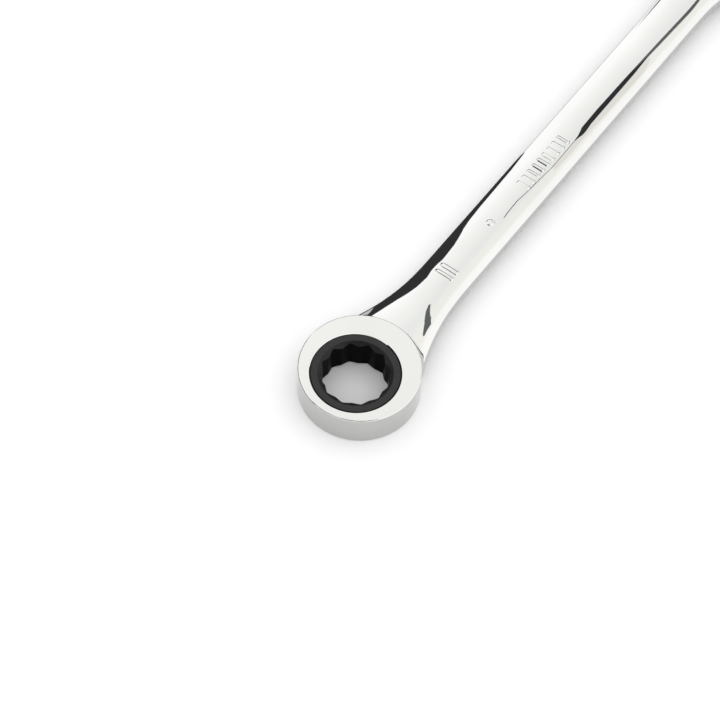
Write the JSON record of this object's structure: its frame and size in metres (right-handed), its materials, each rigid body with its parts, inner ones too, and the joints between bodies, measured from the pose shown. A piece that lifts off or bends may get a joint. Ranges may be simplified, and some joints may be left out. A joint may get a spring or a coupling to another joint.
{
  "type": "ratcheting combination wrench",
  "caption": "Flat steel wrench with a twelve-point ratcheting ring at one end and an angled open jaw at the other, with a toothed gear, sprung pawl, washer and snap ring inside.",
  "frame": {"origin": "centre of the ratchet gear, half way up the ring", "axes": "+X along the handle to the open jaw, +Z along the gear's axis towards the face with the raised marks"},
  "size_m": [0.2249, 0.0358, 0.0104],
  "materials": {
    "polished_chrome": "mirror-polished chrome plate, satin on the ring's outer wall",
    "black_oxide": "dark satin black oxide",
    "tool_steel": "ground and hardened",
    "spring_steel": "drawn wire",
    "dark_steel": "phosphated spring steel"
  },
  "bodies": {
    "wrench": {"wrench_body": "polished_chrome", "spring_plunger": "tool_steel", "pawl_spring": "spring_steel", "cover_washer": "dark_steel", "snap_ring": "dark_steel"},
    "gear": {"ratchet_gear": "black_oxide"},
    "pawl_block": {"pawl": "tool_steel"}
  },
  "joints": [
    {"name": "gear_spin", "type": "hinge", "parent": "wrench", "child": "gear", "pos_m": [0, 0, 0], "axis": [0, 0, 1], "continuous": true},
    {"name": "pawl_slide", "type": "slide", "parent": "wrench", "child": "pawl_block", "axis": [1, 0, 0], "range_m": [0, 0.0008], "stiffness_N_per_m": 400, "springref_m": -0.002, "deforming": ["pawl_spring"]}
  ]
}
